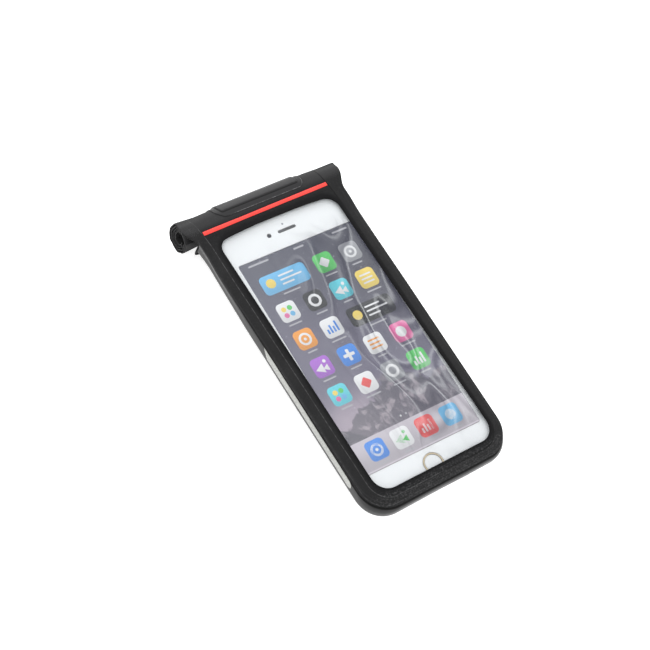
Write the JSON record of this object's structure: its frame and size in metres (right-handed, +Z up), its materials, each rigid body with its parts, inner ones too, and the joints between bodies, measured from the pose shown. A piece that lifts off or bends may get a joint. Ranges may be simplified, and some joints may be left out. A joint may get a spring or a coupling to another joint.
{
  "type": "waterproof bicycle phone case",
  "caption": "Roll-top waterproof phone pouch with a clear window, welded side walls, a rolled mouth over a stiff slat and a slide-in mount on its back, holding a phone.",
  "frame": {"origin": "centre of the bounding box's bottom, on the flat underside of the mount", "axes": "+Z up out of the window, +Y from the bottom end to the rolled mouth, +X to the right of someone reading the display"},
  "size_m": [0.0952, 0.1792, 0.0214],
  "materials": {
    "fabric": "matte coated fabric",
    "wall_fabric": "satin coated fabric",
    "film": "clear soft film",
    "foam": "fine foam",
    "board": "matte sheet",
    "rubber": "matte moulded rubber",
    "moulded": "fine-grained moulded plastic",
    "red": "printed film",
    "reflective": "reflective film",
    "steel": "plated",
    "tape": "hook and loop",
    "white_glass": "white-backed glass",
    "display": "lit display",
    "aluminium": "blasted",
    "gold_ring": "polished pale gold",
    "dark": "dark mesh or lens"
  },
  "bodies": {
    "pouch": {"front_panel": "fabric", "back_panel": "fabric", "side_gusset": "wall_fabric", "window_film": "film", "red_stripe": "red", "roll_patch": "rubber", "roll_slat": "board", "hook_tape": "tape", "loop_tape": "tape", "reflector_left": "reflective", "reflector_right": "reflective", "back_board": "board", "back_pad": "foam", "mount_gasket": "rubber", "mount_base": "moulded", "mount_screw_1": "steel", "mount_screw_2": "steel", "mount_screw_3": "steel", "mount_screw_4": "steel", "phone_body": "aluminium", "phone_front_glass": "white_glass", "phone_display": "display", "phone_home_ring": "gold_ring", "phone_receiver": "dark", "phone_lens": "dark"},
    "home_button": {"phone_home_button": "white_glass"}
  },
  "joints": [
    {"name": "home_button_press", "type": "slide", "parent": "pouch", "child": "home_button", "axis": [0, 0, -1], "range_m": [0, 0.0002], "stiffness_N_per_m": 5000}
  ]
}
